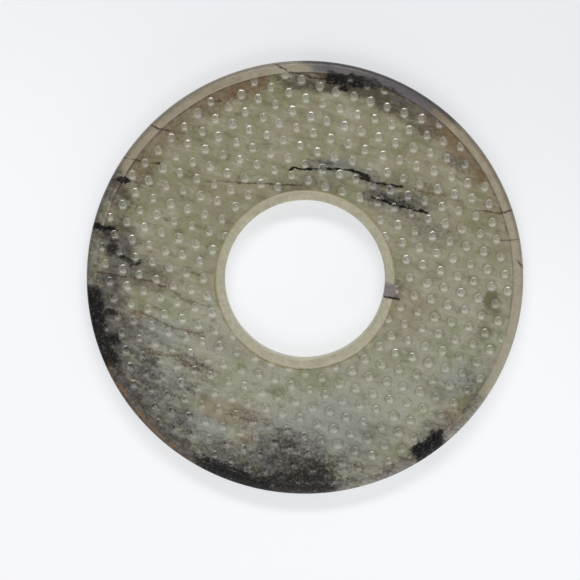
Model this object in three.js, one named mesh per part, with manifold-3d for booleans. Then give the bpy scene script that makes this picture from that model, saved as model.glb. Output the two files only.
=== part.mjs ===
// Jade bi disc: a flat ring of one stone, carved on both faces with a field of round grains
// between two plain raised rims. Millimetres, +Z up, front face up.
// The origin is the middle of the underside. +Y is the way up of the front face when it is hung.
import * as THREE from 'three';
import { mergeGeometries, mergeVertices } from 'three/addons/utils/BufferGeometryUtils.js';
import Module from 'manifold-3d';

// Driving dimensions of the ring.
const outerDiameter = 140;
const boreDiameter = 51.4;
const thickness = 5.5;

// The two plain rims, alike on both faces.
const outerRimWidth = 3.1;
const innerRimWidth = 2.9;
const groundDepth = 0.6;
const rimSlopeRun = 0.5;
const outerEdgeBevel = 1.0;
const boreEdgeBevel = 0.3;

// The carved grains. They stand in rows of a three-way grid, counted across the disc.
const grainRowsAcross = 24.43;
const grainRowAngle = THREE.MathUtils.degToRad(-17.2);
const grainDiameter = 3.2;
const grainClearUnderRim = 0.05;
const frontGrainSides = 5;
const backGrainSides = 4;

// Shift of the grid, in pitches. The carver's rows lie a little wider apart towards the top: by this share
// of the disc's radius, a row at the top or bottom edge stands higher than in an even grid.
const gridShift = new THREE.Vector2(0.58, -0.035);
const rowStretchUp = 0.01;

// Fineness of the faceted ring, and how deep a grain's root reaches into the stone.
const ringSegments = 60;
const grainRoot = 0.4;

// Worked out from the sizes above.
const outerRadius = outerDiameter / 2;
const boreRadius = boreDiameter / 2;
const halfThickness = thickness / 2;
const groundHalfThickness = halfThickness - groundDepth;
const groundOuterRadius = outerRadius - outerRimWidth - rimSlopeRun;
const groundInnerRadius = boreRadius + innerRimWidth + rimSlopeRun;
const grainPitch = outerDiameter / grainRowsAcross;
const grainHeight = groundDepth - grainClearUnderRim;

// Half of the ring's section, from the bore round the front face to the outer wall.
function frontProfile() {
  return [
    [boreRadius, halfThickness - boreEdgeBevel],
    [boreRadius + boreEdgeBevel, halfThickness],
    [boreRadius + innerRimWidth, halfThickness],
    [groundInnerRadius, groundHalfThickness],
    [groundOuterRadius, groundHalfThickness],
    [outerRadius - outerRimWidth, halfThickness],
    [outerRadius - outerEdgeBevel, halfThickness],
    [outerRadius, halfThickness - outerEdgeBevel],
  ];
}

// The whole section is the front half and its mirror, closed on itself and turned about +Z.
function ringGeometry() {
  const front = frontProfile();
  const back = front.map(([radius, height]) => [radius, -height]).reverse();
  const section = [...front, ...back, front[0]].map(([radius, height]) => new THREE.Vector2(radius, height));
  const ring = new THREE.LatheGeometry(section.reverse(), ringSegments);
  return ring.rotateX(Math.PI / 2);
}

// Middle of the grain in one row and column of the grid, with the spread of the rows.
function grainPlace(row, column) {
  const across = new THREE.Vector2(grainPitch, 0).rotateAround(new THREE.Vector2(), grainRowAngle);
  const along = across.clone().rotateAround(new THREE.Vector2(), Math.PI / 3);
  const place = gridShift.clone().multiplyScalar(grainPitch);
  place.addScaledVector(across, column).addScaledVector(along, row);
  const up = place.y / outerRadius;
  place.y += outerRadius * rowStretchUp * up * up;
  return place;
}

// All grains that stand clear of both rims.
function grainPlaces() {
  const places = [];
  const reach = Math.ceil(grainRowsAcross * 0.7);
  const innerLimit = groundInnerRadius + grainDiameter / 2;
  const outerLimit = groundOuterRadius - grainDiameter / 2;
  for (let row = -reach; row <= reach; row++) {
    for (let column = -reach; column <= reach; column++) {
      const place = grainPlace(row, column);
      if (place.length() > innerLimit && place.length() < outerLimit) {
        places.push(place);
      }
    }
  }
  return places;
}

// One low grain on the ground of the front face, its root sunk in the stone.
function grainGeometry(place, sides) {
  const slope = grainHeight / (grainDiameter / 2);
  const rootedHeight = grainHeight + grainRoot;
  const grain = new THREE.ConeGeometry(rootedHeight / slope, rootedHeight, sides);
  grain.rotateX(Math.PI / 2);
  grain.translate(place.x, place.y, groundHalfThickness - grainRoot + rootedHeight / 2);
  return grain;
}

function grainField(sides) {
  return mergeGeometries(grainPlaces().map((place) => grainGeometry(place, sides)));
}

const wasm = await Module();
wasm.setup();

function toSolid(geometry) {
  geometry.deleteAttribute('normal');
  geometry.deleteAttribute('uv');
  const merged = mergeVertices(geometry);
  return new wasm.Manifold(new wasm.Mesh({
    numProp: 3,
    vertProperties: merged.attributes.position.array,
    triVerts: Uint32Array.from(merged.index.array),
  }));
}

function toGeometry(solid) {
  const mesh = solid.getMesh();
  const geometry = new THREE.BufferGeometry();
  geometry.setAttribute('position', new THREE.BufferAttribute(mesh.vertProperties, 3));
  geometry.setIndex(new THREE.BufferAttribute(mesh.triVerts, 1));
  geometry.computeVertexNormals();
  return geometry;
}

// The back carries the same field, turned over about the Y axis, with plainer grains.
function carvedDisc() {
  const frontField = grainField(frontGrainSides);
  const backField = grainField(backGrainSides).rotateY(Math.PI);
  const carved = toSolid(ringGeometry()).add(toSolid(frontField)).add(toSolid(backField));
  return toGeometry(carved).translate(0, 0, halfThickness);
}

const jade = new THREE.MeshStandardMaterial({ color: 0x8f8d76, roughness: 0.38, metalness: 0 });

const disc = new THREE.Mesh(carvedDisc(), jade);
disc.name = 'jade_bi_disc';

const group = new THREE.Group();
group.add(disc);

export default group;
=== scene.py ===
# %% [markdown]
# # A carved jade bi disc
# A bi is a flat ring of jade, ground to shape with sand and water and carved on both faces. This one has a
# plain raised rim round its edge and round its hole, and a field of small round grains between the two rims.
# The lesson starts from the measured solid, which fixes every size. The stone is then carved again at full
# fineness as one mesh, given its clouded colour by a node material, and laid on a pale floor in soft light.

# %% Load the measured solid
import math
import random

import bmesh
import bpy
from mathutils import Matrix, Vector, noise


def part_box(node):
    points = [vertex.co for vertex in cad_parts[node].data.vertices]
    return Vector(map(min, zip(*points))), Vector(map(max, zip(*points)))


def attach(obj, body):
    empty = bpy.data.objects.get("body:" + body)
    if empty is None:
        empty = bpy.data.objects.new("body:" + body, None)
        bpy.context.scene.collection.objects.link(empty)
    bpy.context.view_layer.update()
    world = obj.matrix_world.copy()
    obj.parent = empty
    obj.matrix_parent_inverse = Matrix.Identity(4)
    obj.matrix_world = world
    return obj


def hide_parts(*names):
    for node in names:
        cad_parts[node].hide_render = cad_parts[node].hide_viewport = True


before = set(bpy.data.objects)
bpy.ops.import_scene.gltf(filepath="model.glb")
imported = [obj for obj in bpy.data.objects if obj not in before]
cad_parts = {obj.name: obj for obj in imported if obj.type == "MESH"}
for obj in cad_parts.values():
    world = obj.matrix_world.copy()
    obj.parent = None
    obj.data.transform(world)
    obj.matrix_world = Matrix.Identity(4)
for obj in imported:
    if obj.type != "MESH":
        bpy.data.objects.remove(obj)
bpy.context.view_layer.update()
low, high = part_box("jade_bi_disc")
print("solid box in mm:", [round(v * 1000, 2) for v in high - low])

# %% [markdown]
# ## Sizes
# The outer width and the thickness are read from the solid. The other sizes are the carver's own: how wide
# the rims are, how deep the ground lies below them, and how the grains are spaced. All lengths are in metres,
# so a millimetre has a name of its own.

# %% Sizes of the stone and its carving
MM = 0.001
outer_radius = (high.x - low.x) / 2
thickness = high.z - low.z
middle_height = thickness / 2
bore_radius = 25.7 * MM
outer_rim_width = 3.1 * MM
inner_rim_width = 2.9 * MM
ground_depth = 0.6 * MM
rim_slope_run = 0.4 * MM

ground_half = middle_height - ground_depth
ground_outer = outer_radius - outer_rim_width - rim_slope_run
ground_inner = bore_radius + inner_rim_width + rim_slope_run
print("ground runs from", round(ground_inner / MM, 1), "to", round(ground_outer / MM, 1), "mm")

# %% [markdown]
# ## Camera
# A loose disc can't stand by itself, so it lies face up and the camera looks down on it. It keeps the angle
# of a studio shot of an upright disc: long lens, a little above the middle of the face, so that a sliver of
# the far edge and of the near wall of the hole shows. The place and width of the disc in the picture are
# given in pixels of a 580 by 580 picture, and the lens and the aim are worked out from them.

# %% Camera at the picture's angle
picture_side_px = 580
disc_middle_px = (305.0, 280.0)
disc_radius_px = 218.5
camera_tilt = math.radians(8)
camera_distance = 16 * outer_radius
sensor_width_mm = 36

px = outer_radius / disc_radius_px
aim = Vector((
    (picture_side_px / 2 - disc_middle_px[0]) * px,
    (disc_middle_px[1] - picture_side_px / 2) * px / math.cos(camera_tilt),
    thickness,
))
towards_camera = Vector((0, math.sin(camera_tilt), math.cos(camera_tilt)))

camera_data = bpy.data.cameras.new("camera")
camera_data.sensor_width = sensor_width_mm
camera_data.lens = sensor_width_mm * (disc_radius_px / picture_side_px) * (camera_distance / outer_radius)
camera = bpy.data.objects.new("camera", camera_data)
camera.location = aim + camera_distance * towards_camera
camera.rotation_euler = (-camera_tilt, 0, 0)
bpy.context.scene.collection.objects.link(camera)
bpy.context.scene.camera = camera
print("lens", round(camera_data.lens), "mm at", round(camera_distance, 2), "m")

# %% [markdown]
# ## Where the grains stand
# The carver ruled three sets of lines across the face, sixty degrees apart, and left one grain where they
# meet. The rows lie a little wider apart towards the top, as hand work does, by a small share of the radius.
# Each grid point is the middle of a six-sided patch of ground with one grain on it.

# %% The grid of grains
grain_rows_across = 24.43
pitch = 2 * outer_radius / grain_rows_across
row_angle = math.radians(-17.2)
grid_shift = Vector((0.58, -0.035)) * pitch
row_stretch_up = 0.01


def grid_point(row, column):
    across = Vector((pitch, 0)) @ Matrix.Rotation(-row_angle, 2)
    along = Vector((pitch, 0)) @ Matrix.Rotation(-row_angle - math.pi / 3, 2)
    return grid_shift + across * column + along * row


def spread_rows(place):
    up = place.y / outer_radius
    return place.xy + Vector((0, outer_radius * row_stretch_up * up * up))


grid_reach = math.ceil(grain_rows_across * 0.7)
sheet_radius = outer_radius + 0.6 * pitch
grid_points = []
for row in range(-grid_reach, grid_reach + 1):
    for column in range(-grid_reach, grid_reach + 1):
        point = grid_point(row, column)
        if point.length < sheet_radius:
            grid_points.append(point)
print(len(grid_points), "patches of ground,", round(pitch / MM, 2), "mm apart")

# %% [markdown]
# ## One patch of ground
# A patch starts as a small circle. Its edge is extruded outwards ring by ring, and the last ring is drawn
# out to a six-sided outline, so that patches meet edge to edge like tiles: every second point of it is a
# corner, and lies farther out. A patch has only a few dozen faces, because there are hundreds of them.

# %% Make the patch that is repeated
patch_sides = 12
corner_reach = 2 / math.sqrt(3)


def make_patch(ring_radii):
    patch = bmesh.new()
    bmesh.ops.create_circle(patch, cap_ends=True, cap_tris=True, segments=patch_sides, radius=ring_radii[0])
    rings = list(ring_radii[1:]) + [pitch / 2]
    size = ring_radii[0]
    for radius in rings:
        rim = [edge for edge in patch.edges if edge.is_boundary]
        grown = bmesh.ops.extrude_edge_only(patch, edges=rim)["geom"]
        points = [part for part in grown if isinstance(part, bmesh.types.BMVert)]
        bmesh.ops.scale(patch, vec=(radius / size, radius / size, 1), verts=points)
        size = radius
    for point in points:
        sixth = math.degrees(math.atan2(point.co.y, point.co.x)) / 60
        if abs(sixth - round(sixth)) > 0.25:
            point.co *= corner_reach
    bmesh.ops.rotate(patch, matrix=Matrix.Rotation(row_angle, 3, "Z"), verts=patch.verts)
    mesh = bpy.data.meshes.new("patch")
    patch.to_mesh(mesh)
    patch.free()
    return mesh


front_ring_radii = [0.6 * MM, 1.05 * MM, 1.4 * MM, 1.68 * MM, 2.05 * MM]
back_ring_radii = [0.8 * MM, 1.4 * MM, 1.9 * MM]
front_patch = make_patch(front_ring_radii)
back_patch = make_patch(back_ring_radii)
print("faces in a front patch:", len(front_patch.polygons), "and in a back patch:", len(back_patch.polygons))

# %% [markdown]
# ## The shape of a grain
# A grain is a low dome, steep at its foot, with the faintest hollow round it. No two are quite alike: size,
# height and lean all vary a little. The points of each patch are moved one by one here, as a sculptor would,
# because the form is soft and no operator makes it.

# %% Shape one grain
grain_radius = 1.68 * MM
grain_height = 0.55 * MM
dome_power = 2.7
lean_height = 0.09 * MM
hollow_depth = 0.02 * MM
hollow_reach = 1.15
hollow_spread = 0.15


def grain_form(distance, angle, grain):
    reach = distance / (grain_radius * grain["size"])
    if reach < 1:
        dome = grain_height * grain["height"] * (1 - reach ** dome_power)
        return dome + lean_height * reach * (1 - reach) * math.cos(angle - grain["lean"])
    return -hollow_depth * math.exp(-((reach - hollow_reach) / hollow_spread) ** 2)


def vary_grain(chance, variety):
    return {
        "size": 1 + variety * chance.uniform(-0.12, 0.07),
        "height": 1 - variety * chance.uniform(0.0, 0.25),
        "lean": chance.uniform(0, 2 * math.pi),
        "curl": chance.gauss(0, 0.5),
        "stray": Vector((chance.gauss(0, 0.14), chance.gauss(0, 0.14))) * MM * variety,
    }


# %% [markdown]
# ## A sheet of carved ground
# The patches are laid side by side and their shared edge points merged. Only the grains whose middle lies
# between the rims, or a trace under the inner one, are raised. Each grain also gets its own small map:
# coordinates in grain radii about its middle, turned by a chance angle, from which the material later draws
# the engraved curl. The whole sheet then gets the slow rise and fall of ground that was worked flat by hand.
# Its edge is pulled down and closed, which makes the sheet a slab, half as thick as the stone.

# %% Build a carved slab
ground_swell = 0.04 * MM
swell_size = 8 * MM
slab_overlap = 0.1 * MM
weld_gap = 0.02 * MM
nearer_to_hole = 0.2 * MM
shaped_reach = 0.45 * pitch
curl_start = math.radians(-25)


def lay_patch(sheet, grain_map, patch, middle, grain, relief):
    """Adds one patch to the sheet, raises its grain and maps it."""
    first_point = len(sheet.verts)
    first_face = len(sheet.faces)
    sheet.from_mesh(patch)
    sheet.verts.ensure_lookup_table()
    sheet.faces.ensure_lookup_table()
    stands = ground_inner < spread_rows(middle).length + nearer_to_hole < ground_outer
    turn = Matrix.Rotation(-curl_start - grain["curl"], 2)
    if stands:
        for face in sheet.faces[first_face:]:
            for corner in face.loops:
                corner[grain_map].uv = turn @ corner.vert.co.xy / (grain_radius * grain["size"])
    for point in sheet.verts[first_point:]:
        distance = math.hypot(point.co.x, point.co.y)
        if stands and distance < shaped_reach:
            angle = math.atan2(point.co.y, point.co.x)
            point.co.z = relief * grain_form(distance, angle, grain)
            point.co.xy += grain["stray"]
        point.co.xy += middle


def carved_slab(patch, relief, variety, seed):
    chance = random.Random(seed)
    sheet = bmesh.new()
    grain_map = sheet.loops.layers.uv.new("grain_map")
    for middle in grid_points:
        lay_patch(sheet, grain_map, patch, middle, vary_grain(chance, variety), relief)
    bmesh.ops.remove_doubles(sheet, verts=sheet.verts, dist=weld_gap)
    for point in sheet.verts:
        point.co.xy = spread_rows(point.co)
        where = Vector((point.co.x, point.co.y, seed * swell_size)) / swell_size
        point.co.z += ground_half + ground_swell * noise.noise(where)
    edge = [part for part in sheet.edges if part.is_boundary]
    grown = bmesh.ops.extrude_edge_only(sheet, edges=edge)["geom"]
    for part in grown:
        if isinstance(part, bmesh.types.BMVert):
            part.co.z = -slab_overlap
    floor_edge = [part for part in sheet.edges if part.is_boundary]
    bmesh.ops.edgeloop_fill(sheet, edges=floor_edge)
    bmesh.ops.triangulate(sheet, faces=[face for face in sheet.faces if len(face.verts) > 4])
    bmesh.ops.recalc_face_normals(sheet, faces=sheet.faces)
    return sheet


def to_object(name, shape):
    mesh = bpy.data.meshes.new(name)
    shape.to_mesh(mesh)
    shape.free()
    made = bpy.data.objects.new(name, mesh)
    bpy.context.scene.collection.objects.link(made)
    return made


front = carved_slab(front_patch, relief=1.0, variety=1.0, seed=7)
back = carved_slab(back_patch, relief=0.9, variety=0.3, seed=11)
bmesh.ops.rotate(back, matrix=Matrix.Rotation(math.pi, 3, "Y"), verts=back.verts)
slab = to_object("carved_disc", front)
back_slab = to_object("back_slab", back)
print("front slab faces:", len(slab.data.polygons), "back slab faces:", len(back_slab.data.polygons))

# %% [markdown]
# ## Rims and cutting rings
# A rim is a closed outline turned about the disc's axis, as it would be on a lathe. It starts with square
# arrises, and a bevel then rounds them: broadly at the outer edge, which has worn, and narrowly where the
# flat of the rim drops to the ground. The foot of a rim was ground by hand, so it wanders a little.

# %% Turn an outline into a ring
rim_steps = 360
bore_rim_steps = 200
outer_wear = 1.6 * MM
bore_wear = 0.5 * MM
outer_shoulder = 0.25 * MM
bore_shoulder = 0.35 * MM
foot_wander = 0.16 * MM
wander_size = 7 * MM
hair = 0.01 * MM


def turned_ring(outline, steps=rim_steps):
    ring = bmesh.new()
    points = [ring.verts.new((radius, 0, height)) for radius, height in outline]
    for first, second in zip(points, points[1:] + points[:1]):
        ring.edges.new((first, second))
    bmesh.ops.spin(
        ring, geom=ring.verts[:] + ring.edges[:], cent=(0, 0, 0), axis=(0, 0, 1),
        angle=2 * math.pi, steps=steps, use_merge=True,
    )
    bmesh.ops.remove_doubles(ring, verts=ring.verts, dist=hair / 10)
    bmesh.ops.recalc_face_normals(ring, faces=ring.faces)
    return ring


def soften(ring, radius, height, width, segments):
    """Rounds the two arrises, front and back, that run round the ring at one radius."""
    arrises = []
    for edge in ring.edges:
        ends = [(math.hypot(point.co.x, point.co.y), abs(point.co.z)) for point in edge.verts]
        if all(abs(r - radius) < hair and abs(z - height) < hair for r, z in ends):
            arrises.append(edge)
    bmesh.ops.bevel(
        ring, geom=arrises, offset=width, offset_type="OFFSET", affect="EDGES",
        segments=segments, profile=0.5, material=-1,
    )


def let_wander(ring, still_from, still_to):
    """Moves the points of a ring in and out a little, save those between two radii."""
    for point in ring.verts:
        radius = math.hypot(point.co.x, point.co.y)
        if not still_from < radius < still_to:
            point.co.xy *= 1 + foot_wander * noise.noise(point.co / wander_size) / radius


def mirrored(front_half):
    return front_half + [(radius, -height) for radius, height in reversed(front_half)]


rim_flat_inner = outer_radius - outer_rim_width
outer_rim = turned_ring(mirrored([
    (rim_flat_inner - 2 * rim_slope_run, ground_half - 2 * ground_depth),
    (ground_outer, ground_half),
    (rim_flat_inner, middle_height),
    (outer_radius, middle_height),
]))
soften(outer_rim, rim_flat_inner, middle_height, outer_shoulder, segments=3)
soften(outer_rim, outer_radius, middle_height, outer_wear, segments=6)
let_wander(outer_rim, outer_radius - outer_wear, outer_radius + MM)

bore_rim_flat = bore_radius + inner_rim_width
inner_rim = turned_ring(mirrored([
    (bore_radius, middle_height),
    (bore_rim_flat, middle_height),
    (ground_inner, ground_half),
    (bore_rim_flat + 2 * rim_slope_run, ground_half - 2 * ground_depth),
]), steps=bore_rim_steps)
soften(inner_rim, bore_rim_flat, middle_height, bore_shoulder, segments=3)
soften(inner_rim, bore_radius, middle_height, bore_wear, segments=4)
let_wander(inner_rim, 0, bore_radius + bore_wear)

band_overlap = 0.6 * MM
band = turned_ring(mirrored([
    (ground_inner - band_overlap, thickness),
    (ground_outer + band_overlap, thickness),
]))
outer_rim_piece = to_object("outer_rim", outer_rim)
inner_rim_piece = to_object("inner_rim", inner_rim)
band_cutter = to_object("band", band)
print("outer rim faces:", len(outer_rim_piece.data.polygons))

# %% [markdown]
# ## Join everything into one stone
# The two slabs become one, the band cuts them to a ring, and the rims are joined on. Each Boolean is applied
# at once, and the tool object removed, so one closed mesh is left. It is lifted so that its underside lies at
# height zero, where the measured solid has it.

# %% Join, cut and lift
def shape_with(target, tool, operation):
    step = target.modifiers.new(operation.lower(), "BOOLEAN")
    step.operation = operation
    step.solver = "MANIFOLD"
    step.object = tool
    depsgraph = bpy.context.evaluated_depsgraph_get()
    shaped = bpy.data.meshes.new_from_object(target.evaluated_get(depsgraph))
    target.modifiers.clear()
    target.data = shaped
    bpy.data.objects.remove(tool)
    print(operation.lower(), "leaves", len(shaped.polygons), "faces")


sharp_angle = math.radians(38)
disc = slab
shape_with(disc, back_slab, "UNION")
shape_with(disc, band_cutter, "INTERSECT")
shape_with(disc, outer_rim_piece, "UNION")
shape_with(disc, inner_rim_piece, "UNION")
disc.data.transform(Matrix.Translation((0, 0, middle_height)))
disc.data.shade_smooth()
disc.data.set_sharp_from_angle(angle=sharp_angle)
mapped = sum(1 for corner in disc.data.uv_layers["grain_map"].uv if corner.vector.length > 0.01)
print("triangles:", sum(len(face.vertices) - 2 for face in disc.data.polygons), "mapped corners:", mapped)

# %% [markdown]
# ## Tools for the stone's colour
# The colour is built from masks in the stone's own coordinates, so it runs through the stone as the real
# clouds and stains do. These helpers each add one node, or a small chain, to the material's tree.

# %% Node helpers
jade = bpy.data.materials.new("mottled_jade")
jade.use_nodes = True
tree = jade.node_tree
tree.nodes.clear()


def rgb(red, green, blue):
    """A colour given in picture values of 0 to 255, as the linear light that a shader takes."""
    linear = []
    for value in (red, green, blue):
        share = value / 255
        linear.append(share / 12.92 if share <= 0.04045 else ((share + 0.055) / 1.055) ** 2.4)
    return (*linear, 1.0)


def feed(where, socket, value):
    if isinstance(value, bpy.types.NodeSocket):
        where.links.new(value, socket)
    else:
        socket.default_value = value


def maths(operation, first, second=0.0, clamp=False, where=tree):
    made = where.nodes.new("ShaderNodeMath")
    made.operation = operation
    made.use_clamp = clamp
    feed(where, made.inputs[0], first)
    if operation not in ("ABSOLUTE", "ARCCOSINE", "FRACT"):
        feed(where, made.inputs[1], second)
    return made.outputs[0]


def vectors(operation, first, second=(0, 0, 0), where=tree, out=0):
    made = where.nodes.new("ShaderNodeVectorMath")
    made.operation = operation
    feed(where, made.inputs[0], first)
    if operation == "SCALE":
        feed(where, made.inputs["Scale"], second)
    elif operation not in ("LENGTH", "NORMALIZE"):
        feed(where, made.inputs[1], second)
    return made.outputs[out]


def ramp(value, start, end, low_value=0.0, high_value=1.0, where=tree):
    """Rises smoothly from one value to another while the input goes from start to end."""
    made = where.nodes.new("ShaderNodeMapRange")
    made.interpolation_type = "SMOOTHSTEP"
    feed(where, made.inputs["Value"], value)
    feed(where, made.inputs["From Min"], start)
    feed(where, made.inputs["From Max"], end)
    feed(where, made.inputs["To Min"], low_value)
    feed(where, made.inputs["To Max"], high_value)
    return made.outputs[0]


def both(*masks):
    """The product of several masks."""
    result = masks[0]
    for mask in masks[1:]:
        result = maths("MULTIPLY", result, mask)
    return result


def strongest(*masks):
    """The strongest of several masks at each point."""
    result = masks[0]
    for mask in masks[1:]:
        result = maths("MAXIMUM", result, mask)
    return result


def mottle(place, size, detail=3.0, roughness=0.55, colour=False):
    """Noise whose lumps are about size millimetres across."""
    made = tree.nodes.new("ShaderNodeTexNoise")
    feed(tree, made.inputs["Vector"], place)
    made.inputs["Scale"].default_value = 1 / size
    made.inputs["Detail"].default_value = detail
    made.inputs["Roughness"].default_value = roughness
    return made.outputs["Color" if colour else 0]


def tint(amount, base, over, blend="MIX"):
    made = tree.nodes.new("ShaderNodeMix")
    made.data_type = "RGBA"
    made.blend_type = blend
    feed(tree, made.inputs[0], amount)
    feed(tree, made.inputs[6], base)
    feed(tree, made.inputs[7], over)
    return made.outputs[2]


coordinates = tree.nodes.new("ShaderNodeTexCoord")
place_mm = vectors("SCALE", coordinates.outputs["Object"], 1 / MM)
split = tree.nodes.new("ShaderNodeSeparateXYZ")
feed(tree, split.inputs[0], place_mm)
flat_mm = vectors("MULTIPLY", place_mm, (1, 1, 0))
radius_mm = vectors("LENGTH", flat_mm, out=1)
print("node helpers ready")

# %% [markdown]
# ## Stains as soft-edged blots
# A stain is an oval with a soft edge, or a band along the edge of the disc, where water and soil got at the
# stone. The coordinates that the stains read are pushed about by noise first, at two scales, so that no edge
# is a clean oval. The stains of one colour are laid one after another. A running record goes from each to the
# next: the place in X and Y, and in Z the strongest mask so far.

# %% A record that stains are laid on
def new_group(name, inputs):
    group = bpy.data.node_groups.new(name, "ShaderNodeTree")
    group.interface.new_socket(name="Record", in_out="INPUT", socket_type="NodeSocketVector")
    for title, kind in inputs:
        group.interface.new_socket(name=title, in_out="INPUT", socket_type="NodeSocket" + kind)
    group.interface.new_socket(name="Record", in_out="OUTPUT", socket_type="NodeSocketVector")
    start = group.nodes.new("NodeGroupInput")
    end = group.nodes.new("NodeGroupOutput")
    return group, start.outputs, end.inputs


def put_on_record(group, given, wanted, mask):
    """Raises the record's Z to the mask where the mask is stronger, and leaves its X and Y alone."""
    raised = group.nodes.new("ShaderNodeCombineXYZ")
    raised.inputs[0].default_value = -10000
    raised.inputs[1].default_value = -10000
    feed(group, raised.inputs[2], mask)
    feed(group, wanted["Record"], vectors("MAXIMUM", given["Record"], raised.outputs[0], where=group))


blot_group, given, wanted = new_group("oval_stain", [
    ("Middle", "Vector"), ("Long axis", "Vector"), ("Short axis", "Vector"),
    ("Inner", "Float"), ("Outer", "Float"), ("Strength", "Float"),
])
from_middle = vectors("SUBTRACT", given["Record"], given["Middle"], where=blot_group)
long_share = vectors("DOT_PRODUCT", from_middle, given["Long axis"], where=blot_group, out=1)
short_share = vectors("DOT_PRODUCT", from_middle, given["Short axis"], where=blot_group, out=1)
long_squared = maths("MULTIPLY", long_share, long_share, where=blot_group)
short_squared = maths("MULTIPLY", short_share, short_share, where=blot_group)
away_squared = maths("ADD", long_squared, short_squared, where=blot_group)
inside = ramp(away_squared, given["Inner"], given["Outer"], given["Strength"], 0.0, where=blot_group)
put_on_record(blot_group, given, wanted, inside)

arc_group, given, wanted = new_group("edge_stain", [
    ("Towards", "Vector"), ("Half span", "Float"),
    ("Inner", "Float"), ("Soft", "Float"), ("Strength", "Float"),
])
from_axis = vectors("MULTIPLY", given["Record"], (1, 1, 0), where=arc_group)
heading = vectors("NORMALIZE", from_axis, where=arc_group)
closeness = vectors("DOT_PRODUCT", heading, given["Towards"], where=arc_group, out=1)
angle_off = maths("ARCCOSINE", closeness, where=arc_group)
span_left = maths("SUBTRACT", given["Half span"], angle_off, where=arc_group)
end_softness = 0.04
along_mask = ramp(span_left, -end_softness, end_softness, 0.0, given["Strength"], where=arc_group)
from_axis_mm = vectors("LENGTH", from_axis, where=arc_group, out=1)
past_inner = maths("SUBTRACT", from_axis_mm, given["Inner"], where=arc_group)
softness = maths("MULTIPLY", given["Soft"], -1.0, where=arc_group)
depth_mask = ramp(past_inner, softness, given["Soft"], where=arc_group)
put_on_record(arc_group, given, wanted, maths("MULTIPLY", along_mask, depth_mask, where=arc_group))
print("stain groups ready")

# %% Lay the stains of one colour
broad_reach_mm = 5.0
fine_reach_mm = 2.4


def push(size, detail, roughness):
    """Noise that pushes evenly to all sides."""
    return vectors("SUBTRACT", mottle(flat_mm, size, detail, roughness, colour=True), (0.5, 0.5, 0.5))


broad_push = push(5.0, 3.0, 0.6)
fine_push = push(1.1, 3.0, 0.65)
pushed = vectors("ADD", flat_mm, vectors("SCALE", broad_push, broad_reach_mm))
ragged = vectors("MULTIPLY", vectors("ADD", pushed, vectors("SCALE", fine_push, fine_reach_mm)), (1, 1, 0))


def blot(x, y, half_long, half_wide, turn, strength, soft=0.5):
    """One oval stain: middle, half sizes in millimetres, turn in degrees."""
    slant = math.radians(turn)
    return blot_group, {
        "Middle": (x, y, 0),
        "Long axis": (math.cos(slant) / half_long, math.sin(slant) / half_long, 0),
        "Short axis": (-math.sin(slant) / half_wide, math.cos(slant) / half_wide, 0),
        "Inner": (1 - soft) ** 2,
        "Outer": (1 + soft) ** 2,
        "Strength": strength,
    }


def edge_stain(start, end, inner, strength=1.0, soft=1.0):
    """A stain along the edge between two angles in degrees, reaching in to a radius in millimetres."""
    middle = math.radians((start + end) / 2)
    return arc_group, {
        "Towards": (math.cos(middle), math.sin(middle), 0),
        "Half span": math.radians(abs(end - start) / 2),
        "Inner": inner,
        "Soft": soft,
        "Strength": strength,
    }


def laid(stains, place=ragged):
    """Lays stains on a record that starts at place, and gives the strongest mask at each point."""
    record = place
    for group, values in stains:
        made = tree.nodes.new("ShaderNodeGroup")
        made.node_tree = group
        feed(tree, made.inputs["Record"], record)
        for title, value in values.items():
            feed(tree, made.inputs[title], value)
        record = made.outputs["Record"]
    return vectors("DOT_PRODUCT", record, (0, 0, 1), out=1)


print("stains can be laid")

# %% [markdown]
# ## Breaking a stain up
# A stain soaks into stone grain by grain, so its edge is made of flecks. Fine noise is added to the soft mask
# and the sum is cut off sharply, which turns a soft edge into a speckled one.

# %% Crumbled stains
flecks = mottle(place_mm, 1.0, 5.0, 0.7)
fleck_push = maths("SUBTRACT", flecks, 0.5)


def crumbled(mask, amount=2.0, start=0.25, end=0.75):
    return ramp(maths("ADD", mask, maths("MULTIPLY", fleck_push, amount)), start, end)


print("stains can crumble")

# %% [markdown]
# ## The clouded stone
# The ground colour is a dull green-grey, warmer and darker towards the top of the face and paler and cooler
# below. It drifts between tones in clouds some millimetres across, with bluish and pale patches. Fine streaks
# run through it from the upper left to the lower right, strongest on the left.

# %% Ground colours
up_mm = split.outputs[1]
colour = tint(ramp(up_mm, -38.0, 26.0), rgb(160, 159, 140), rgb(147, 143, 116))
clouds = mottle(place_mm, 9.0, 5.0, 0.62)
colour = tint(ramp(clouds, 0.48, 0.64, 0.0, 0.7), colour, rgb(130, 133, 97))
colour = tint(ramp(clouds, 0.5, 0.34, 0.0, 0.5), colour, rgb(164, 160, 140))
blush = mottle(flat_mm, 7.0, 4.0, 0.6)
colour = tint(ramp(blush, 0.52, 0.68, 0.0, 0.5), colour, rgb(150, 136, 120))
bluish = laid([
    blot(6, -50, 20, 11, 8, 0.75, 0.6),
    blot(-45, -17, 9, 4.5, -12, 0.8),
    blot(-43, -32, 6, 3.5, -10, 0.7),
    blot(-49, -26, 4, 3, 0, 0.5),
    blot(-33, -48, 8, 5, -15, 0.8),
    blot(-26, -38, 7, 4, 10, 0.35, 0.6),
    blot(50, -32, 7, 5, 30, 0.6, 0.6),
    blot(32, -35, 7, 5, 0, 0.4, 0.6),
    blot(24, -50, 9, 6, 20, 0.5, 0.6),
    blot(-58, 3, 5, 4, 0, 0.5, 0.6),
    blot(12, 36, 9, 3, -5, 0.5, 0.6),
])
colour = tint(crumbled(bluish, 1.2, 0.1, 1.0), colour, rgb(146, 150, 139))
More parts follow.
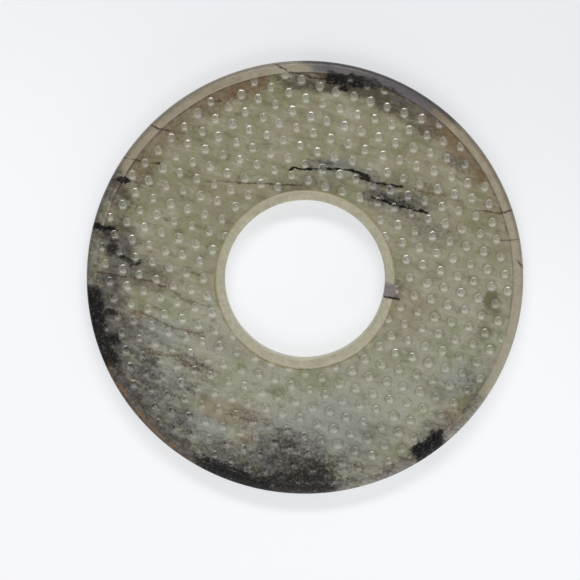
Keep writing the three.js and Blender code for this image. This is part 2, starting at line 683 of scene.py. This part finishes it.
pale = laid([
    blot(-30, -16, 12, 9, -30, 0.6, 0.6),
    blot(28, -40, 14, 9, 10, 0.35, 0.6),
    blot(-6, -40, 12, 6, 0, 0.4, 0.6),
])
colour = tint(crumbled(pale, 1.2, 0.1, 1.0), colour, rgb(170, 168, 150))
along_mm = vectors("DOT_PRODUCT", place_mm, (0.38, -0.13, 0), out=1)
across_mm = vectors("DOT_PRODUCT", place_mm, (0.33, 0.94, 0), out=1)
streak_place = tree.nodes.new("ShaderNodeCombineXYZ")
feed(tree, streak_place.inputs[0], along_mm)
feed(tree, streak_place.inputs[1], across_mm)
streaks = mottle(streak_place.outputs[0], 2.8, 5.0, 0.7)
leftwards = ramp(split.outputs[0], 0.0, -50.0, 0.45, 0.75)
colour = tint(both(ramp(streaks, 0.52, 0.66), leftwards), colour, rgb(100, 93, 70))
colour = tint(ramp(streaks, 0.48, 0.34, 0.0, 0.6), colour, rgb(172, 171, 155))
print("ground colours mixed")

# %% [markdown]
# ## Tan, russet and olive
# Iron has stained the stone russet just inside the outer rim, at the upper left and the upper right, and
# orange along the lower left edge. Tan streaks lie in the lower left, and olive spots at the right. A darker
# umber lies near the edge, above all at the top and the left.

# %% Coloured stains
tan = laid([
    blot(32, -8, 5, 9, 15, 0.6, 0.6),
    blot(29, -17, 5, 3, 0, 0.5, 0.6),
    blot(-26, -43, 8, 4, -20, 0.8),
    blot(-20, -52, 4, 2, 0, 0.8),
    blot(-20, -45, 5, 3, -10, 0.6),
    blot(-30, -27, 6, 3, -30, 0.4, 0.6),
    blot(-50, 0, 9, 2.5, -8, 0.5, 0.6),
    blot(31, -52, 3, 4, 0, 0.5, 0.6),
    blot(18, -30, 9, 3, -25, 0.3, 0.6),
    blot(-35, 31, 10, 3, 5, 0.5, 0.6),
    blot(-20, 29, 10, 3, 0, 0.4, 0.6),
    blot(24, 29, 6, 3, -40, 0.4, 0.6),
])
tan_now = both(crumbled(tan, 1.6, 0.1, 1.1), ramp(streaks, 0.35, 0.6, 0.4, 1.0))
colour = tint(tan_now, colour, rgb(136, 122, 96))
russet = laid([
    edge_stain(100, 124, 61.0, 0.7, 2.5),
    edge_stain(124, 150, 60.0, 0.6, 4.5),
    edge_stain(27, 56, 60.5, 0.7, 4.0),
    blot(-42, 49, 6, 3.5, 45, 0.6, 0.6),
    blot(-52, 38, 6, 4, 55, 0.6, 0.6),
    blot(46, 48, 7, 3.5, -55, 0.85),
    blot(51, 42, 7, 5, -50, 0.75, 0.6),
    blot(57, 33, 4, 2.5, -30, 0.7),
    blot(60, 24, 4, 4, -60, 0.4, 0.6),
    blot(62, 8, 3, 6, 0, 0.25, 0.6),
    blot(50, -42, 7, 3, 45, 0.5, 0.6),
    blot(-57, -12, 5, 4, 0, 0.35, 0.6),
])
colour = tint(crumbled(russet, 1.6, 0.05, 1.05), colour, rgb(120, 98, 72))
orange = laid([
    edge_stain(203, 238, 65.3, 0.75, 1.2),
    edge_stain(104, 114, 62.5, 0.8, 1.0),
    blot(-15, 63.5, 3, 1.6, 15, 0.9),
    blot(56.5, 33.5, 2, 1.6, -50, 0.9, 0.4),
    blot(-52, -46, 8, 2.5, -42, 0.5),
    blot(-24, -44, 6, 1.0, -15, 0.5),
])
orange_now = both(crumbled(orange, 2.4, 0.25, 0.85), ramp(streaks, 0.4, 0.6, 0.3, 1.0))
colour = tint(orange_now, colour, rgb(112, 86, 56))
olive = laid([
    blot(60, -7, 2.5, 3.5, 10, 0.9),
    blot(58, -17, 2.5, 3, 0, 0.6),
    blot(54, -27, 3, 2, 0, 0.5),
    blot(55, -37, 7, 3, 50, 0.6),
    blot(20, 62, 16, 3.5, -18, 0.7),
    blot(-36, 46, 8, 2, -5, 0.4),
    blot(-46, 26, 8, 3, 20, 0.3),
    blot(-26, 22, 5, 4, 0, 0.3),
    blot(38, 28, 8, 3, -20, 0.4),
    blot(30, 41, 4, 3, 0, 0.35),
    blot(44, -20, 6, 2, 0, 0.3),
    blot(-9, -36, 3, 2, 0, 0.5),
])
colour = tint(crumbled(olive, 1.6, 0.1, 0.95), colour, rgb(104, 102, 72))
umber = laid([
    blot(15, 61.8, 19, 3.2, -13, 0.85),
    blot(34, 54, 12, 4, -40, 0.6),
    blot(6, 62.6, 15, 2.6, -7, 0.9),
    blot(27, 57.0, 11, 3.4, -28, 0.8, 0.6),
    edge_stain(203, 241, 65.2, 0.9, 1.5),
    blot(2, 31, 13, 3, 0, 0.5, 0.6),
    blot(35, 29, 9, 5, -20, 0.4, 0.6),
    blot(42, 14, 8, 4, 0, 0.4, 0.6),
    blot(-52, 2, 9, 5, -10, 0.6, 0.6),
    blot(-61, 30, 4, 8, 30, 0.85),
    blot(-60, 13, 6, 8, 0, 0.7, 0.6),
    blot(-62, -8, 5, 12, 0, 0.8, 0.6),
    blot(-52, -18, 8, 5, -20, 0.45, 0.6),
    blot(-28, -20, 8, 4, -25, 0.35, 0.6),
    blot(-39, -35, 7, 5, -30, 0.4, 0.6),
    blot(-28, -58, 9, 4, -25, 0.6, 0.6),
    blot(-10, -60, 8, 4, -8, 0.6, 0.6),
    blot(-20, -46, 7, 4, -20, 0.35, 0.6),
    blot(13, -60, 9, 4, 8, 0.55, 0.6),
    blot(21, -51, 7, 4, 10, 0.4, 0.6),
    blot(42, -50, 9, 5, 40, 0.5, 0.6),
    blot(44, -36, 6, 4, 0, 0.35, 0.6),
])
dusk_side = ramp(split.outputs[0], 62.0, 20.0, 0.1, 0.32)
edge_dusk = both(ramp(radius_mm, 52.0, 65.0), ramp(clouds, 0.3, 0.55), dusk_side)
umber_now = both(crumbled(strongest(umber, edge_dusk), 1.5, 0.05, 1.0), ramp(streaks, 0.34, 0.54, 0.4, 1.0))
colour = tint(umber_now, colour, rgb(74, 66, 50))
print("coloured stains mixed")

# %% [markdown]
# ## The grey veil
# A purplish grey lies over the lower left of the face, along the left edge, on the rim at the upper right and
# round the black veins above the hole. It is the outer fringe of the black stains. Its tone shifts between
# grey and brown every two or three millimetres, and dark flecks lie in it.

# %% Grey veil
veil = laid([
    blot(-55, -30, 13, 8, -65, 0.85),
    blot(-45, -43, 12, 7, -45, 0.75),
    blot(-38, -33, 6, 4, -20, 0.4),
    blot(-64, -6, 10, 4.5, 85, 0.75),
    blot(-60, -17, 8, 6, 80, 0.75),
    blot(-61, 11, 7, 4, -35, 0.75),
    blot(-57, 5, 6, 3, -20, 0.5),
    blot(-36, -27, 7, 2.5, -20, 0.6),
    blot(-24, -57, 12, 4, -22, 0.7),
    blot(-6, -57, 13, 8, 0, 0.8),
    blot(24, 27.5, 5, 4, 0, 0.75, 0.6),
    blot(32, 25, 8, 2.6, -14, 0.7, 0.6),
    blot(32, 23, 8, 3, -25, 0.6),
    blot(7, 37, 9, 2.2, 2, 0.55),
    blot(21, 32, 5, 2.5, -25, 0.6),
    blot(28, -3, 4, 4, 0, 0.6, 0.4),
    blot(-52, 30, 7, 4, 30, 0.3, 0.6),
    blot(48, 38, 5, 2.5, -35, 0.5),
    blot(52, -33, 3, 3, 0, 0.5),
    blot(42, -50, 6, 4, 40, 0.5),
    blot(33, 58, 12, 3, -30, 0.6),
    edge_stain(148, 182, 66.5, 0.65, 1.0),
    edge_stain(196, 243, 65.5, 0.75, 1.2),
    edge_stain(299, 328, 66.3, 0.6, 1.0),
    blot(36, 19, 11, 4, -15, 0.35, 0.6),
    blot(41, 52, 9, 5, 40, 0.3, 0.6),
    edge_stain(277, 301, 66.0, 0.75, 1.5),
    blot(-17, -58, 11, 5, -12, 0.7),
    blot(-13, -47, 8, 4, -15, 0.4),
    edge_stain(242, 279, 61.0, 0.8, 2.0),
])
veil_now = both(crumbled(veil, 1.8, 0.1, 1.0), ramp(streaks, 0.34, 0.52, 0.45, 1.0))
veil_tone = tint(ramp(mottle(flat_mm, 2.2, 4.0, 0.65), 0.44, 0.56), rgb(98, 94, 96), rgb(72, 64, 52))
colour = tint(veil_now, colour, veil_tone)
veil_flecks = both(ramp(veil, 0.2, 0.7), ramp(streaks, 0.55, 0.64), ramp(flecks, 0.4, 0.55))
colour = tint(both(veil_flecks, 0.75), colour, rgb(52, 47, 44))
print("grey veil mixed")

# %% [markdown]
# ## Plain rims
# The rims have no carving to hold dirt, and they are paler and more weathered than the ground. The rim of the
# hole is the palest, with a yellow tinge. At the upper right the outer rim has gone a purplish grey, and a
# small grey patch lies on the rim of the hole, at its right. In the upper half of the face the rounded outer
# edge is darkened with painted shade.

# %% Rim colours
on_outer_rim = ramp(radius_mm, 66.5, 66.9)
on_inner_rim = ramp(radius_mm, 29.1, 28.6)
rim_clouds = mottle(place_mm, 4.0, 4.0, 0.6)
rim_grey = laid([edge_stain(54, 88, 66.0, 1.0, 0.6)])
rim_keep = ramp(veil, 0.1, 0.7, 1.0, 0.0)
rim_cover = ramp(rim_clouds, 0.3, 0.7, 0.45, 0.85)
colour = tint(both(on_outer_rim, rim_keep, rim_cover), colour, rgb(165, 155, 135))
colour = tint(both(on_outer_rim, rim_grey, 0.9), colour, rgb(96, 91, 95))
colour = tint(both(on_inner_rim, ramp(rim_clouds, 0.3, 0.7, 0.6, 0.95)), colour, rgb(180, 175, 152))
yellow_line = both(ramp(radius_mm, 28.0, 28.7), ramp(radius_mm, 29.6, 29.0), ramp(rim_clouds, 0.4, 0.6))
colour = tint(both(yellow_line, 0.5), colour, rgb(160, 145, 92))
# Painted shade: the rounded outer edge is darkened in the upper half of the face, where it faces away from
# the light.
painted_shade_top_rounding = both(ramp(radius_mm, 68.3, 69.5), ramp(up_mm, -10.0, 30.0, 0.0, 0.5))
colour = tint(painted_shade_top_rounding, colour, rgb(84, 76, 60))
bore_grey = both(on_inner_rim, laid([blot(28, -3.5, 3.5, 2.8, 0, 1.0, 0.3)]))
colour = tint(bore_grey, colour, rgb(128, 118, 120))
print("rims coloured")

# %% [markdown]
# ## Black stains, and painted shade on the upper edge
# The darkest stains follow the edge at the top, the left and the bottom, with blots running in from them. A
# dark line of painted shade lies on the worn edge at the upper right, where the rounding turns away from the
# light. Rust and flecks of soot cover the rim at the lower left.

# %% Black stains and painted edge shade
black = laid([
    edge_stain(181, 196, 65.2, 0.9, 2.0),
    edge_stain(186, 205, 65.0, 0.85, 1.8),
    edge_stain(238, 279, 66.3, 0.75, 0.7),
    edge_stain(240, 262, 65.2, 0.9, 1.0),
    edge_stain(301, 311, 64.3, 1.0, 1.2),
    blot(10, 64.2, 4.5, 1.2, -8, 0.85),
    blot(15, 63.8, 8, 1.8, -12, 0.85),
    blot(12.5, 61.2, 1.6, 1.0, 0, 0.9),
    blot(24, 62.5, 7, 1.2, -22, 0.6),
    blot(29, 25.5, 6, 1.2, -20, 0.6, 0.7),
    blot(-58.5, 32.0, 2.4, 0.9, 0, 0.9),
    blot(-65, 17.3, 4.5, 1.0, -12, 0.8),
    blot(-61.5, 10, 1.8, 2.2, 0, 0.7, 0.6),
    blot(-62, 14.2, 3, 1.2, -30, 0.6),
    blot(-57, 7, 4.5, 1.0, -20, 0.6, 0.6),
    blot(-54, 5.6, 2.2, 0.9, 0, 0.7, 0.6),
    blot(-63, -11, 3, 1.4, 0, 0.7),
    blot(-62, -19, 3, 1.6, -20, 0.85),
    blot(-62, -24, 2, 3, 20, 0.8),
    blot(1, -62, 9, 4.5, 0, 0.6, 0.7),
    blot(-6, -57, 4, 7, 5, 0.5, 0.7),
    blot(4, -62.5, 4, 3.2, 0, 0.7, 0.6),
    blot(-9, -59, 4, 2, 0, 0.6),
    blot(-2, -64.5, 12, 2.4, 2, 0.75, 0.6),
    blot(-16, -62.5, 9, 2, -14, 0.55, 0.6),
    blot(-24, -61.5, 9, 1.3, -27, 0.7),
    blot(39.6, -55.2, 4.8, 1.5, 38, 1.0, 0.35),
    blot(43.2, -50.6, 0.9, 2.8, -20, 0.85, 0.4),
])
black_now = crumbled(black, 1.5, 0.15, 0.85)
colour = tint(black_now, colour, tint(ramp(flecks, 0.5, 0.62), rgb(12, 11, 12), rgb(62, 58, 56)))
# Painted shade: the worn outer edge at the upper right is darkened where it turns away from the light.
painted_shade_upper_edge = laid([edge_stain(46, 91, 69.0, 0.9, 1.1)], flat_mm)
colour = tint(painted_shade_upper_edge, colour, rgb(20, 18, 20))
rust = laid([edge_stain(203, 239, 67.6, 0.85, 1.2)])
rust_now = both(crumbled(rust, 2.6, 0.35, 0.85), ramp(rim_clouds, 0.44, 0.54, 0.2, 1.0))
colour = tint(rust_now, colour, rgb(122, 94, 60))
soot = both(laid([edge_stain(200, 240, 66.0, 0.85, 1.5)]), ramp(flecks, 0.48, 0.57))
colour = tint(soot, colour, rgb(40, 34, 30))
print("black stains mixed")

# %% [markdown]
# ## Veins and cracks
# A vein or crack follows a few points across the face, and a third group lays one straight piece of it on the
# record. The width varies along the run, and the coordinates wander a little, so that the line kinks as a
# real crack does. Some fine cracks run in a wider seam of browned stone, which is laid first.

# %% Veins
piece_group, given, wanted = new_group("straight_piece", [
    ("Start", "Vector"), ("Run", "Vector"), ("Per length squared", "Float"),
    ("Half width", "Float"), ("Strength", "Float"),
])
on_face = vectors("MULTIPLY", given["Record"], (1, 1, 0), where=piece_group)
from_start = vectors("SUBTRACT", on_face, given["Start"], where=piece_group)
along = vectors("DOT_PRODUCT", from_start, given["Run"], where=piece_group, out=1)
share = maths("MULTIPLY", along, given["Per length squared"], clamp=True, where=piece_group)
nearest = vectors("SCALE", given["Run"], share, where=piece_group)
to_line = vectors("SUBTRACT", from_start, nearest, where=piece_group)
off_line = vectors("LENGTH", to_line, where=piece_group, out=1)
core_share = 0.2
core = maths("MULTIPLY", given["Half width"], core_share, where=piece_group)
on_line = ramp(off_line, core, given["Half width"], given["Strength"], 0.0, where=piece_group)
put_on_record(piece_group, given, wanted, on_line)

kink_reach_mm = 1.5
kinks = push(2.4, 4.0, 0.55)
wandering = vectors("MULTIPLY", vectors("ADD", flat_mm, vectors("SCALE", kinks, kink_reach_mm)), (1, 1, 0))
unevenness = ramp(mottle(flat_mm, 2.6, 3.0, 0.6), 0.36, 0.64, 0.3, 1.35)


def line(points, half_width, strength=1.0):
    """The straight pieces of one thin line through points given in millimetres."""
    pieces = []
    for start, end in zip(points, points[1:]):
        run = Vector((*end, 0)) - Vector((*start, 0))
        pieces.append((piece_group, {
            "Start": (*start, 0),
            "Run": run,
            "Per length squared": 1 / run.length_squared,
            "Half width": maths("MULTIPLY", unevenness, half_width),
            "Strength": strength,
        }))
    return pieces


def laid_lines(lines):
    return laid([piece for pieces in lines for piece in pieces], wandering)


black_veins = laid_lines([
    line([(-5, 35.4), (-3.5, 36.3), (0, 35.4), (8, 35.9), (13, 35.6), (20, 33.8)], 0.6, 1.0),
    line([(6, 35.3), (9.5, 35.8)], 1.0, 0.9),
    line([(13, 35.4), (17, 34.4), (20.5, 32.6)], 0.9, 0.95),
    line([(16, 33.2), (20, 32), (27, 30.4), (31, 29.8)], 0.7, 0.95),
    line([(21.5, 26.6), (28, 24.6), (34.5, 22.4), (39, 21.6)], 0.95, 1.0),
    line([(25.2, -5.4), (30.6, -6.3)], 0.5, 0.95),
    line([(-64, 32.2), (-58, 32.0)], 0.8, 0.8),
    line([(-69, 18), (-65, 17), (-60, 16)], 0.9, 0.85),
    line([(-60.5, 8), (-57, 7), (-54.5, 5.8), (-51.5, 6.6)], 0.6, 0.85),
])
colour = tint(black_veins, colour, rgb(9, 7, 6))
brown_seams = laid_lines([
    line([(-55, -10), (-50, -11.7), (-46, -13.6), (-42, -15.7), (-38, -16.4), (-33, -18)], 2.2, 0.75),
    line([(-50, -22.5), (-46, -24.6), (-41, -25), (-36, -28), (-32, -30)], 2.4, 0.7),
    line([(-60, 1.4), (-50, -0.1), (-44, -2.6)], 1.2, 0.5),
    line([(35, 29), (45, 27), (50, 25)], 1.2, 0.5),
])
colour = tint(both(brown_seams, ramp(flecks, 0.4, 0.62)), colour, rgb(100, 78, 44))
brown_cracks = laid_lines([
    line([(-11.5, 69.6), (-8.5, 68.8), (-5.5, 66.8), (-1, 66), (2, 64.8), (7, 64.6)], 0.55, 0.95),
    line([(-22, 31.2), (-13, 31), (-8, 30.5), (-1, 30.5)], 0.42, 0.85),
    line([(-32, 31.5), (-25, 31.8), (-20, 31.3)], 0.4, 0.5),
    line([(-50, 50.2), (-46.5, 48.6), (-43.5, 48)], 0.5, 0.9),
    line([(-43.5, 48), (-38, 46.8)], 0.4, 0.4),
    line([(-58.5, 39.5), (-55, 38.7), (-51, 37.8), (-46.5, 37.5)], 0.42, 0.9),
    line([(-67, 2.4), (-60, 1.4), (-50, -0.1), (-47.5, -1.6), (-44.5, -2.4)], 0.4, 0.75),
    line([(-38, 3), (-33, 1.2)], 0.35, 0.45),
    line([(-55, -10), (-50, -11.7), (-46, -13.6), (-42, -15.7), (-38, -16.4), (-34, -17.5)], 0.4, 0.5),
    line([(-49, -23), (-46, -24.6), (-41, -25), (-36, -28), (-33, -29.5)], 0.4, 0.4),
    line([(54, 22.6), (62, 21.4), (66.5, 22.4)], 0.42, 0.8),
    line([(62, 12.8), (69.5, 13)], 0.35, 0.6),
    line([(-31, 57.2), (-26.5, 57.3)], 0.5, 0.9),
    line([(-24, -43.5), (-17, -46), (-12, -45.5)], 0.4, 0.5),
    line([(-40.5, -47), (-37, -44.5)], 0.6, 0.6),
    line([(68, 6.5), (69.8, 4)], 0.7, 0.8),
    line([(35, 29), (45, 27)], 0.35, 0.3),
    line([(47, 34.5), (52, 30)], 0.35, 0.3),
])
colour = tint(brown_cracks, colour, rgb(60, 36, 18))
print("veins mixed")

# %% [markdown]
# ## Wear, dirt and painted shade
# Fine dirt stays in the hollows: at the foot of the rims and in the curl that is engraved on each grain. At
# the foot of the outer rim and round the foot of each grain, the darkening is partly dirt and partly painted
# shade. The tops of the grains are polished by handling, which keeps them pale. Height above the carved
# ground tells the grains from the ground. The curl is a short spiral in each grain's own map: it starts at
# the grain's right side, sweeps over its top and hooks in towards the middle. Where the stone is stained, the
# hook is a dark pit.

# %% The engraved curl
grain_uv = tree.nodes.new("ShaderNodeUVMap")
grain_uv.uv_map = "grain_map"
grain_split = tree.nodes.new("ShaderNodeSeparateXYZ")
feed(tree, grain_split.inputs[0], grain_uv.outputs[0])
grain_reach = vectors("LENGTH", grain_uv.outputs[0], out=1)
grain_angle = maths("ARCTAN2", grain_split.outputs[1], grain_split.outputs[0])
grain_turn = maths("FRACT", maths("ADD", maths("DIVIDE", grain_angle, 2 * math.pi), 1.0))
spiral_reach = maths("SUBTRACT", 0.9, maths("MULTIPLY", grain_turn, 1.25))
off_spiral = maths("ABSOLUTE", maths("SUBTRACT", grain_reach, spiral_reach))
curl_ends = both(ramp(grain_turn, 0.0, 0.08), ramp(grain_turn, 0.66, 0.52))
curl = both(ramp(off_spiral, 0.04, 0.17, 1.0, 0.0), curl_ends)
print("curl drawn")

# %% Dirt, wear and painted shade
from_mid_plane = maths("ABSOLUTE", maths("SUBTRACT", split.outputs[2], middle_height / MM))
above_ground = maths("SUBTRACT", from_mid_plane, ground_half / MM)
on_field = both(ramp(radius_mm, 66.5, 66.1), ramp(radius_mm, 29.0, 29.4))
dark_here = strongest(black_now, both(veil, 0.7))
grain_top = both(on_field, ramp(above_ground, 0.06, 0.3))
upper_share = ramp(up_mm, -50.0, 5.0, 0.3, 1.0)
pale_top = both(grain_top, ramp(dark_here, 0.1, 0.9, 1.0, 0.1), upper_share, 0.34)
colour = tint(pale_top, colour, rgb(190, 187, 172))
curl_dirt = both(curl, ramp(dark_here, 0.0, 0.8, 0.28, 0.95))
colour = tint(curl_dirt, colour, rgb(58, 52, 42))
from_pit = vectors("DISTANCE", grain_uv.outputs[0], (-0.2, 0.42, 0.0), out=1)
pit_dirt = both(ramp(from_pit, 0.12, 0.42, 1.0, 0.0), ramp(dark_here, 0.15, 0.7), 0.85)
colour = tint(pit_dirt, colour, rgb(22, 18, 16))
# A dark ring round each grain's foot, partly dirt and partly painted shade, stronger towards the lower right.
grain_foot_dirt_and_shade = both(ramp(grain_reach, 0.88, 1.0), ramp(grain_reach, 1.22, 1.04))
rightwards_mm = vectors("DOT_PRODUCT", flat_mm, (0.7, -0.7, 0), out=1)
colour = tint(both(grain_foot_dirt_and_shade, ramp(rightwards_mm, 0.0, 45.0, 0.06, 0.35)), colour, rgb(86, 80, 58))
print("grains worn and dirtied")

# %% [markdown]
# Dirt also marks the foot of both rims. At the outer rim it is partly painted shade, heaviest in the upper
# half of the face, and at the bottom a thin pale line along the foot is a painted highlight. Last come small
# dark specks and a fine grain of lighter and darker tone over all.

# %% Dirt, painted shade and a painted highlight at the rims
outer_foot = both(ramp(radius_mm, 65.7, 66.3), ramp(radius_mm, 66.85, 66.5))
inner_foot = both(ramp(radius_mm, 28.6, 28.95), ramp(radius_mm, 29.8, 29.2))
foot_broken = ramp(mottle(flat_mm, 3.0, 4.0, 0.65), 0.42, 0.66)
foot_upper = laid([edge_stain(12, 178, 60.0)], flat_mm)
# Dirt and painted shade at the foot of the outer rim, in the upper half of the face.
rim_foot_dirt_and_shade = both(outer_foot, foot_upper, foot_broken)
colour = tint(both(rim_foot_dirt_and_shade, 0.75), colour, rgb(78, 62, 44))
colour = tint(both(inner_foot, foot_broken, 0.3), colour, rgb(118, 106, 74))
# Painted highlight: a thin pale line along the outer rim's foot at the bottom, where the slope faces the
# light.
painted_highlight_line = both(
    ramp(radius_mm, 66.2, 66.35), ramp(radius_mm, 66.65, 66.45),
    laid([edge_stain(238, 288, 60.0)], flat_mm),
)
colour = tint(both(painted_highlight_line, foot_broken, 0.5), colour, rgb(150, 148, 138))
specks = ramp(mottle(place_mm, 0.7, 2.0, 0.5), 0.67, 0.74)
top_of_rim = laid([edge_stain(80, 90, 66.5, 1.0, 0.5)])
speckled = strongest(veil, top_of_rim, both(on_outer_rim, 0.3), 0.12)
colour = tint(both(specks, speckled, 0.8), colour, rgb(60, 50, 40))
grain_noise = ramp(flecks, 0.25, 0.75, 0.86, 1.14)
colour = tint(1.0, colour, grain_noise, "MULTIPLY")
print("wear and dirt mixed")

# %% [markdown]
# ## The jade shader
# Polished nephrite has a waxy gloss, and light enters it a millimetre or two before it comes back out, which
# softens the carving. The grains are the most polished, with a thin gloss over them that catches the light in
# one bright point each, and the weathered rims the least. The black stains and veins are duller, which keeps
# them dark. The curl and a very shallow unevenness from the polishing are bumps, given in millimetres of
# height.

# %% The shader itself
shader = tree.nodes.new("ShaderNodeBsdfPrincipled")
output = tree.nodes.new("ShaderNodeOutputMaterial")
tree.links.new(shader.outputs[0], output.inputs["Surface"])
feed(tree, shader.inputs["Base Color"], colour)
shader.inputs["Subsurface Weight"].default_value = 0.25
shader.inputs["Subsurface Radius"].default_value = (1.0, 0.95, 0.7)
shader.inputs["Subsurface Scale"].default_value = 0.8 * MM
shader.inputs["IOR"].default_value = 1.61
polish = ramp(mottle(place_mm, 3.0, 3.0), 0.3, 0.7, 0.28, 0.4)
on_rims = maths("SUBTRACT", 1.0, on_field)
roughness = maths("ADD", polish, maths("MULTIPLY", on_rims, 0.14))
feed(tree, shader.inputs["Roughness"], maths("SUBTRACT", roughness, maths("MULTIPLY", grain_top, 0.1)))
feed(tree, shader.inputs["Coat Weight"], both(grain_top, upper_share))
shader.inputs["Coat Roughness"].default_value = 0.1
feed(tree, shader.inputs["Specular IOR Level"], ramp(strongest(black_now, black_veins), 0.2, 1.0, 0.5, 0.15))
uneven_mm = 0.02
curl_depth_mm = 0.1
uneven_height = maths("MULTIPLY", mottle(place_mm, 0.9, 3.0, 0.6), uneven_mm)
curl_cut = maths("MULTIPLY", curl, curl_depth_mm)
relief_height = maths("SUBTRACT", uneven_height, curl_cut)
relief = tree.nodes.new("ShaderNodeBump")
relief.inputs["Strength"].default_value = 1.0
relief.inputs["Distance"].default_value = 1.0 * MM
feed(tree, relief.inputs["Height"], relief_height)
feed(tree, shader.inputs["Normal"], relief.outputs[0])

disc.data.materials.clear()
disc.data.materials.append(jade)
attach(disc, "root")
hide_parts("jade_bi_disc")
print("nodes in the material:", len(tree.nodes))

# %% [markdown]
# ## Floor and light
# The floor is a pale light table: paper over a soft glow, which keeps the shadows beside the stone thin. The
# glow fades a little towards the upper right. One long soft light stands beyond the disc's top edge and puts
# a small glint on the upper side of every grain. A broad panel from the near side lays a pale crescent on the
# lower side, and a low strip beside it catches the worn lower edge. The sky is dim, so that the black stains
# stay black.

# %% Floor
floor_half_width = 3.0
floor_gap = 0.05 * MM
floor_shape = bmesh.new()
bmesh.ops.create_grid(floor_shape, x_segments=1, y_segments=1, size=floor_half_width)
bmesh.ops.translate(floor_shape, vec=(0, 0, -floor_gap), verts=floor_shape.verts)
floor = to_object("floor", floor_shape)
paper = bpy.data.materials.new("lit_paper")
paper.use_nodes = True
paper_shader = paper.node_tree.nodes["Principled BSDF"]
paper_shader.inputs["Base Color"].default_value = rgb(178, 180, 184)
paper_shader.inputs["Roughness"].default_value = 0.9
paper_shader.inputs["Specular IOR Level"].default_value = 0.0
paper_shader.inputs["Emission Color"].default_value = (0.98, 0.99, 1.0, 1.0)
paper_coordinates = paper.node_tree.nodes.new("ShaderNodeTexCoord")
paper_up = vectors(
    "DOT_PRODUCT", paper_coordinates.outputs["Object"], (0.35, 1.0, 0.0), where=paper.node_tree, out=1,
)
glow_near = 0.54
glow_far = 0.415
glow = ramp(paper_up, -0.02, 0.12, glow_near, glow_far, where=paper.node_tree)
feed(paper.node_tree, paper_shader.inputs["Emission Strength"], glow)
floor.data.materials.append(paper)
print("floor laid")

# %% Lights
def soft_light(name, direction, height, distance, width, depth, radiance):
    """A soft box that faces the disc. Angles are in degrees, and direction 0 is the near side."""
    turn = math.radians(direction)
    rise = math.radians(height)
    out = Vector((math.sin(turn) * math.cos(rise), -math.cos(turn) * math.cos(rise), math.sin(rise)))
    data = bpy.data.lights.new(name, "AREA")
    data.shape = "RECTANGLE"
    data.size = width
    data.size_y = depth
    data.energy = radiance * math.pi * width * depth
    lamp = bpy.data.objects.new(name, data)
    lamp.location = out * distance
    lamp.rotation_euler = (-out).to_track_quat("-Z", "Y").to_euler()
    bpy.context.scene.collection.objects.link(lamp)
    return lamp


soft_light("far_strip", direction=180, height=38, distance=0.9, width=0.8, depth=0.16, radiance=14.0)
soft_light("near_panel", direction=0, height=50, distance=0.8, width=1.0, depth=0.5, radiance=1.7)
soft_light("near_low", direction=25, height=12, distance=0.8, width=1.4, depth=0.25, radiance=3.2)
world = bpy.data.worlds.new("pale_sky")
world.use_nodes = True
sky = world.node_tree.nodes["Background"]
sky.inputs["Color"].default_value = (0.97, 0.98, 1.0, 1.0)
sky.inputs["Strength"].default_value = 0.2
bpy.context.scene.world = world
bpy.context.scene.view_settings.view_transform = "Standard"
print("lights placed")
